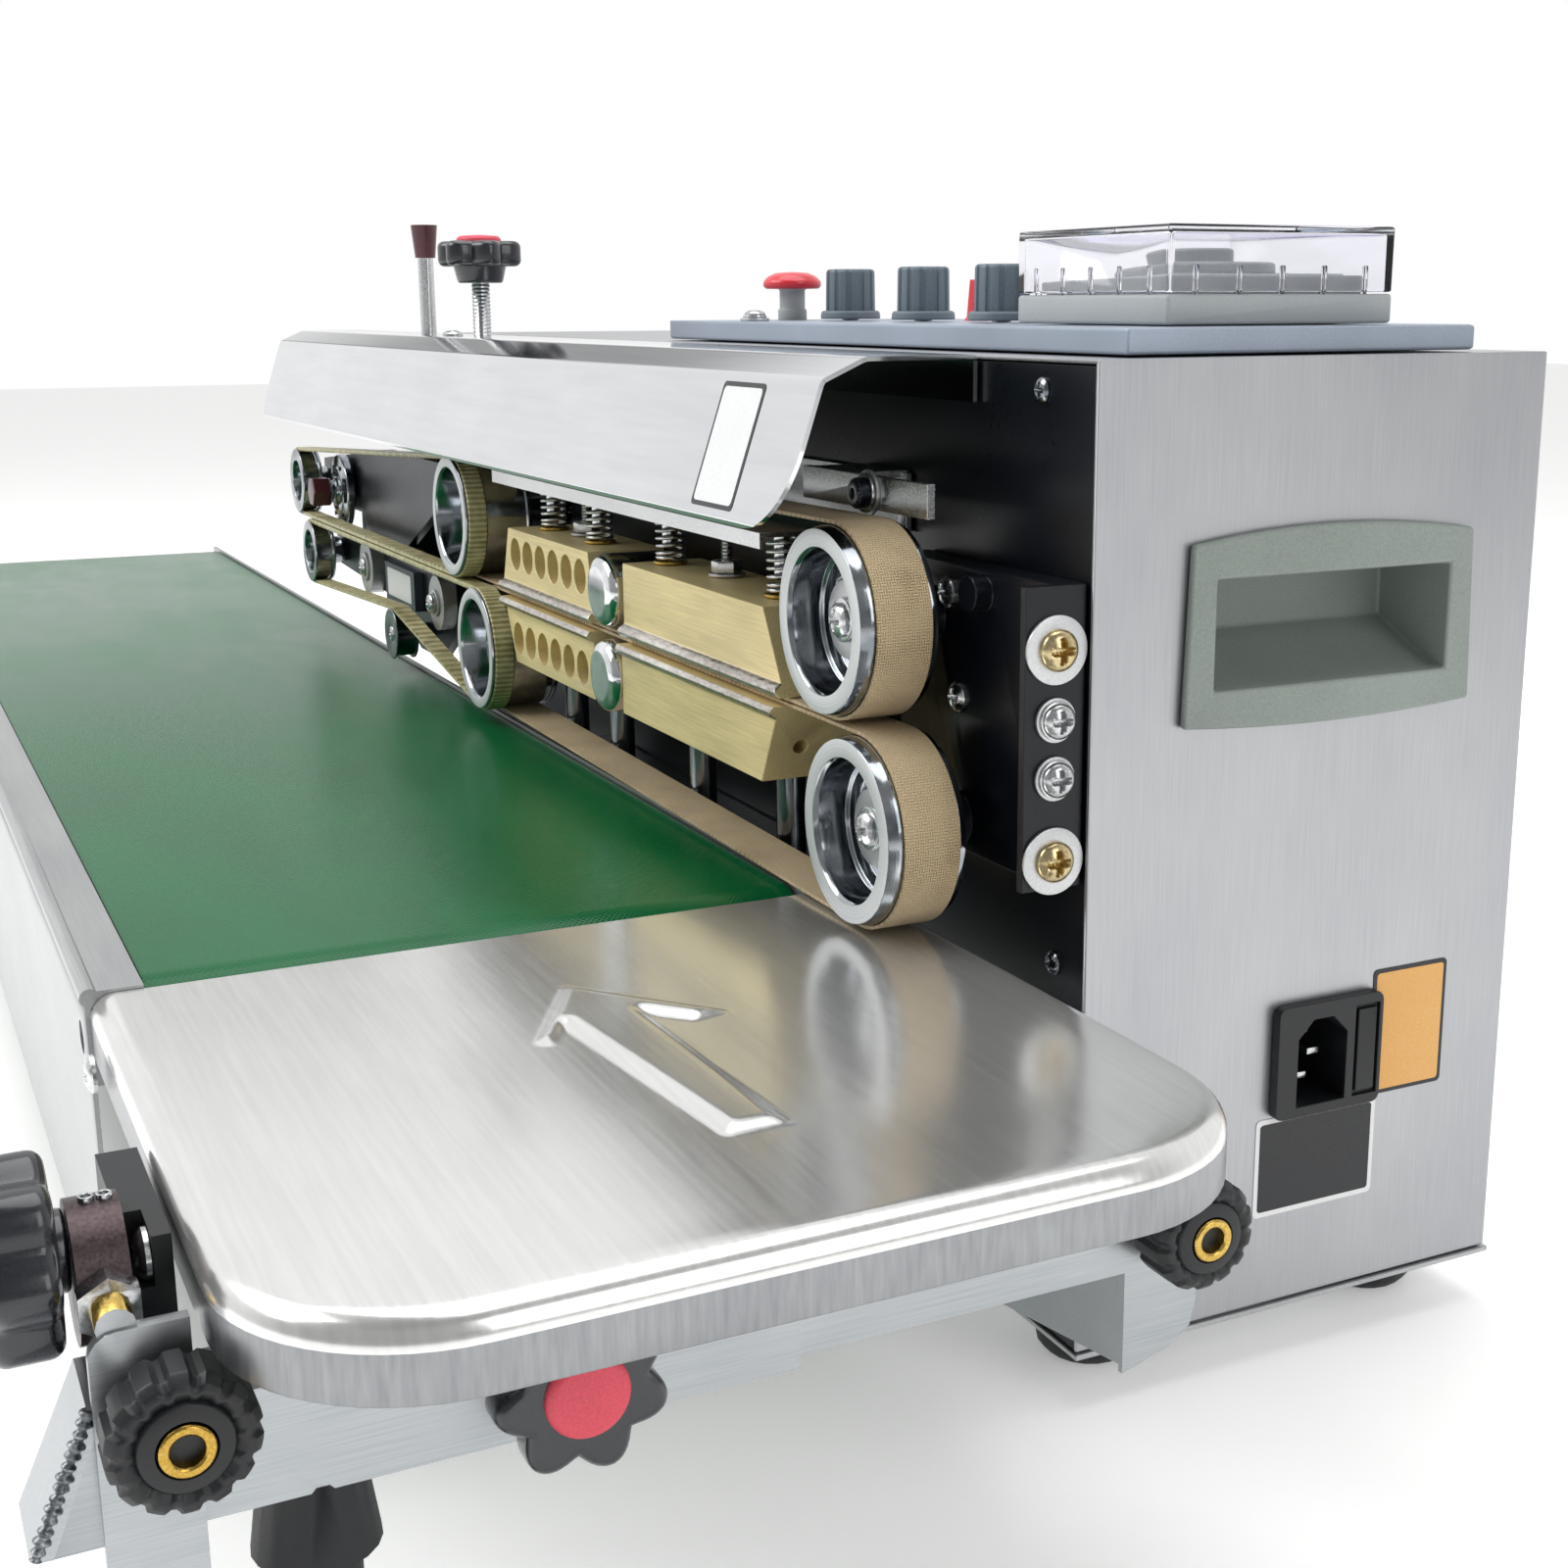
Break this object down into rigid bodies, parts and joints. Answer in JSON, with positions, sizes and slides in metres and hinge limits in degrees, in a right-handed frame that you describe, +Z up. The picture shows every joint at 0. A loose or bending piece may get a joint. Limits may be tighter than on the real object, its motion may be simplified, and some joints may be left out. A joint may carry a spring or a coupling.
{
  "type": "continuous band sealer",
  "caption": "Benchtop band sealer: steel casing, hooded sealing head with bands, jaws and wheels, green belt conveyor, infeed tray and telescopic support arms.",
  "frame": {"origin": "centre of the bounding box at the table the feet stand on", "axes": "+Z up, +X towards the infeed tray, -Y towards the operator, who stands in front of the conveyor"},
  "size_m": [1.14, 0.4032, 0.32],
  "materials": {
    "stainless_brushed": "fine vertical brush",
    "stainless_polished": "mirror polish",
    "chrome_wheels": "turned and polished",
    "black_panel": "gloss black paint",
    "black_plastic": "satin",
    "grey_plastic": "fine grain",
    "slate_plastic": "matt",
    "pale_plastic": "matt",
    "clear_cover": "clear moulded plastic",
    "red_plastic": "gloss",
    "panel_aluminium": "satin blue-grey",
    "jaw_brass": "brushed pale gold",
    "spring_steel": "bright zinc",
    "band_fabric": "woven glass coated tan",
    "belt_rubber": "pale yellow translucent",
    "belt_green": "gloss dark green",
    "black_rubber": "moulded",
    "motor_paint": "satin grey",
    "carrier_paint": "satin black"
  },
  "bodies": {
    "casing": {"casing_shell": "stainless_brushed", "base_panel": "stainless_brushed", "front_panel": "black_panel", "foot_front_right": "black_rubber", "foot_front_left": "black_rubber", "foot_rear_right": "black_rubber", "foot_rear_left": "black_rubber", "side_handle_right": "grey_plastic", "side_handle_left": "grey_plastic", "power_inlet": "black_plastic", "hood": "stainless_polished", "control_panel": "panel_aluminium", "thermostat_base": "pale_plastic", "thermostat_cover": "clear_cover", "end_bracket": "black_panel", "spring_bracket": "spring_steel", "post_rail": "chrome_wheels", "pulley_carrier": "carrier_paint", "drive_motor": "motor_paint", "heater_block_lower": "jaw_brass", "cooling_block_lower": "jaw_brass", "sealing_band_upper": "band_fabric", "sealing_band_lower": "band_fabric", "guide_belt_upper": "belt_rubber", "guide_belt_lower": "belt_rubber", "cooling_springs": "spring_steel", "heater_springs": "spring_steel"},
    "heater_jaw": {"heater_block_upper": "jaw_brass"},
    "cooler_jaw": {"cooling_block_upper": "jaw_brass"},
    "drive_upper": {"drive_wheel_upper": "chrome_wheels"},
    "drive_lower": {"drive_wheel_lower": "chrome_wheels"},
    "idler_upper": {"idler_wheel_upper": "chrome_wheels"},
    "idler_lower": {"idler_wheel_lower": "chrome_wheels"},
    "press_upper": {"press_wheel_upper": "chrome_wheels"},
    "press_lower": {"press_wheel_lower": "chrome_wheels"},
    "guide_upper": {"guide_pulley_upper": "chrome_wheels"},
    "guide_lower": {"guide_pulley_lower": "chrome_wheels"},
    "tension_roll": {"tension_pulley": "chrome_wheels"},
    "coder": {"coder_wheel": "chrome_wheels"},
    "dial_left": {"knob_left": "slate_plastic"},
    "dial_middle": {"knob_middle": "slate_plastic"},
    "dial_right": {"knob_right": "slate_plastic"},
    "stop": {"stop_button": "red_plastic"},
    "toggle": {"toggle_lever": "red_plastic"},
    "pressure_screw": {"pressure_knob": "black_plastic"},
    "lift_frame": {"arm_inner_right": "stainless_brushed", "arm_inner_left": "stainless_brushed"},
    "conveyor": {"arm_outer_right": "stainless_brushed", "arm_outer_left": "stainless_brushed", "conveyor_frame": "stainless_brushed", "conveyor_belt": "belt_green", "infeed_tray": "stainless_polished"},
    "roller_drive": {"drive_roller": "chrome_wheels"},
    "roller_tail": {"tail_roller": "chrome_wheels"},
    "arm_lock": {"arm_knob": "black_plastic"},
    "rail_lock": {"rail_knob": "black_plastic"},
    "front_lock": {"front_clamp_knob": "black_plastic"},
    "rear_lock": {"rear_clamp_knob": "black_plastic"},
    "leg_r": {"leg_right": "black_rubber"},
    "leg_l": {"leg_left": "black_rubber"}
  },
  "joints": [
    {"name": "heater_lift", "type": "slide", "parent": "casing", "child": "heater_jaw", "axis": [0, 0, 1], "range_m": [0, 0.003], "stiffness_N_per_m": 2000, "springref_m": -0.003, "deforming": ["heater_springs"]},
    {"name": "cooler_lift", "type": "slide", "parent": "casing", "child": "cooler_jaw", "axis": [0, 0, 1], "range_m": [0, 0.003], "stiffness_N_per_m": 2000, "springref_m": -0.003, "deforming": ["cooling_springs"]},
    {"name": "drive_upper_spin", "type": "hinge", "parent": "casing", "child": "drive_upper", "pos_m": [0.066, 0.0194, 0.2035], "axis": [0, 1, 0], "continuous": true},
    {"name": "drive_lower_spin", "type": "hinge", "parent": "casing", "child": "drive_lower", "pos_m": [0.094, 0.0194, 0.1541], "axis": [0, 1, 0], "continuous": true},
    {"name": "idler_upper_spin", "type": "hinge", "parent": "casing", "child": "idler_upper", "pos_m": [0.396, 0.0294, 0.2053], "axis": [0, 1, 0], "continuous": true},
    {"name": "idler_lower_spin", "type": "hinge", "parent": "casing", "child": "idler_lower", "pos_m": [0.411, 0.0294, 0.1523], "axis": [0, 1, 0], "continuous": true},
    {"name": "press_upper_spin", "type": "hinge", "parent": "casing", "child": "press_upper", "pos_m": [0.229, 0.0294, 0.1931], "axis": [0, 1, 0], "continuous": true},
    {"name": "press_lower_spin", "type": "hinge", "parent": "casing", "child": "press_lower", "pos_m": [0.229, 0.0294, 0.1645], "axis": [0, 1, 0], "continuous": true},
    {"name": "guide_upper_spin", "type": "hinge", "parent": "casing", "child": "guide_upper", "pos_m": [-0.222, 0.0174, 0.1965], "axis": [0, 1, 0], "continuous": true},
    {"name": "guide_lower_spin", "type": "hinge", "parent": "casing", "child": "guide_lower", "pos_m": [-0.202, 0.0174, 0.1619], "axis": [0, 1, 0], "continuous": true},
    {"name": "tension_spin", "type": "hinge", "parent": "casing", "child": "tension_roll", "pos_m": [-0.04, 0.0174, 0.1413], "axis": [0, 1, 0], "continuous": true},
    {"name": "coder_spin", "type": "hinge", "parent": "casing", "child": "coder", "pos_m": [-0.18, 0.0254, 0.194], "axis": [0, 1, 0], "continuous": true},
    {"name": "knob_left_turn", "type": "hinge", "parent": "casing", "child": "dial_left", "pos_m": [0.218, 0.1154, 0.2881], "axis": [0, 0, 1], "range_deg": [-150, 150]},
    {"name": "knob_middle_turn", "type": "hinge", "parent": "casing", "child": "dial_middle", "pos_m": [0.271, 0.1154, 0.2881], "axis": [0, 0, 1], "range_deg": [-150, 150]},
    {"name": "knob_right_turn", "type": "hinge", "parent": "casing", "child": "dial_right", "pos_m": [0.321, 0.1154, 0.2881], "axis": [0, 0, 1], "range_deg": [-150, 150]},
    {"name": "stop_press", "type": "slide", "parent": "casing", "child": "stop", "axis": [0, 0, -1], "range_m": [0, 0.004], "stiffness_N_per_m": 400},
    {"name": "toggle_tilt", "type": "hinge", "parent": "casing", "child": "toggle", "pos_m": [0.257, 0.1434, 0.2786], "axis": [1, 0, 0], "range_deg": [-16, 8]},
    {"name": "pressure_turn", "type": "hinge", "parent": "casing", "child": "pressure_screw", "pos_m": [0.037, 0.0374, 0.3], "axis": [0, 0, 1], "range_deg": [-360, 360]},
    {"name": "conveyor_height", "type": "slide", "parent": "casing", "child": "lift_frame", "axis": [0, 0, 1], "range_m": [-0.018, 0]},
    {"name": "conveyor_reach", "type": "slide", "parent": "lift_frame", "child": "conveyor", "axis": [0, -1, 0], "range_m": [0, 0.04]},
    {"name": "drive_roller_spin", "type": "hinge", "parent": "conveyor", "child": "roller_drive", "pos_m": [-0.552, -0.0656, 0.11], "axis": [0, 1, 0], "continuous": true},
    {"name": "tail_roller_spin", "type": "hinge", "parent": "conveyor", "child": "roller_tail", "pos_m": [0.3586, -0.0656, 0.11], "axis": [0, 1, 0], "continuous": true},
    {"name": "arm_knob_turn", "type": "hinge", "parent": "conveyor", "child": "arm_lock", "pos_m": [0.53, -0.1006, 0.0852], "axis": [1, 0, 0], "range_deg": [-180, 180]},
    {"name": "rail_knob_turn", "type": "hinge", "parent": "conveyor", "child": "rail_lock", "pos_m": [0.495, -0.1946, 0.1166], "axis": [0, 1, 0], "range_deg": [-180, 180]},
    {"name": "front_clamp_turn", "type": "hinge", "parent": "conveyor", "child": "front_lock", "pos_m": [0.53, -0.1733, 0.0948], "axis": [1, 0, 0], "range_deg": [-180, 180]},
    {"name": "rear_clamp_turn", "type": "hinge", "parent": "lift_frame", "child": "rear_lock", "pos_m": [0.526, 0.0454, 0.084], "axis": [1, 0, 0], "range_deg": [-180, 180]},
    {"name": "leg_right_slide", "type": "slide", "parent": "conveyor", "child": "leg_r", "axis": [0, 0, 1], "range_m": [0, 0.018]},
    {"name": "leg_left_slide", "type": "slide", "parent": "conveyor", "child": "leg_l", "axis": [0, 0, 1], "range_m": [0, 0.018]}
  ],
  "couplings": [
    {"joint": "drive_lower_spin", "follows": "drive_upper_spin", "ratio": -1},
    {"joint": "idler_upper_spin", "follows": "drive_upper_spin", "ratio": 0.9289},
    {"joint": "idler_lower_spin", "follows": "drive_upper_spin", "ratio": -0.9289},
    {"joint": "press_upper_spin", "follows": "drive_upper_spin", "ratio": 1.8952},
    {"joint": "press_lower_spin", "follows": "drive_upper_spin", "ratio": -1.8952},
    {"joint": "guide_upper_spin", "follows": "drive_upper_spin", "ratio": 1.4545},
    {"joint": "guide_lower_spin", "follows": "drive_upper_spin", "ratio": -1.5342},
    {"joint": "tension_spin", "follows": "drive_upper_spin", "ratio": 2.0348},
    {"joint": "drive_roller_spin", "follows": "drive_upper_spin", "ratio": -1.7279},
    {"joint": "tail_roller_spin", "follows": "drive_upper_spin", "ratio": -1.7279},
    {"joint": "leg_right_slide", "follows": "conveyor_height", "ratio": -1},
    {"joint": "leg_left_slide", "follows": "conveyor_height", "ratio": -1}
  ]
}
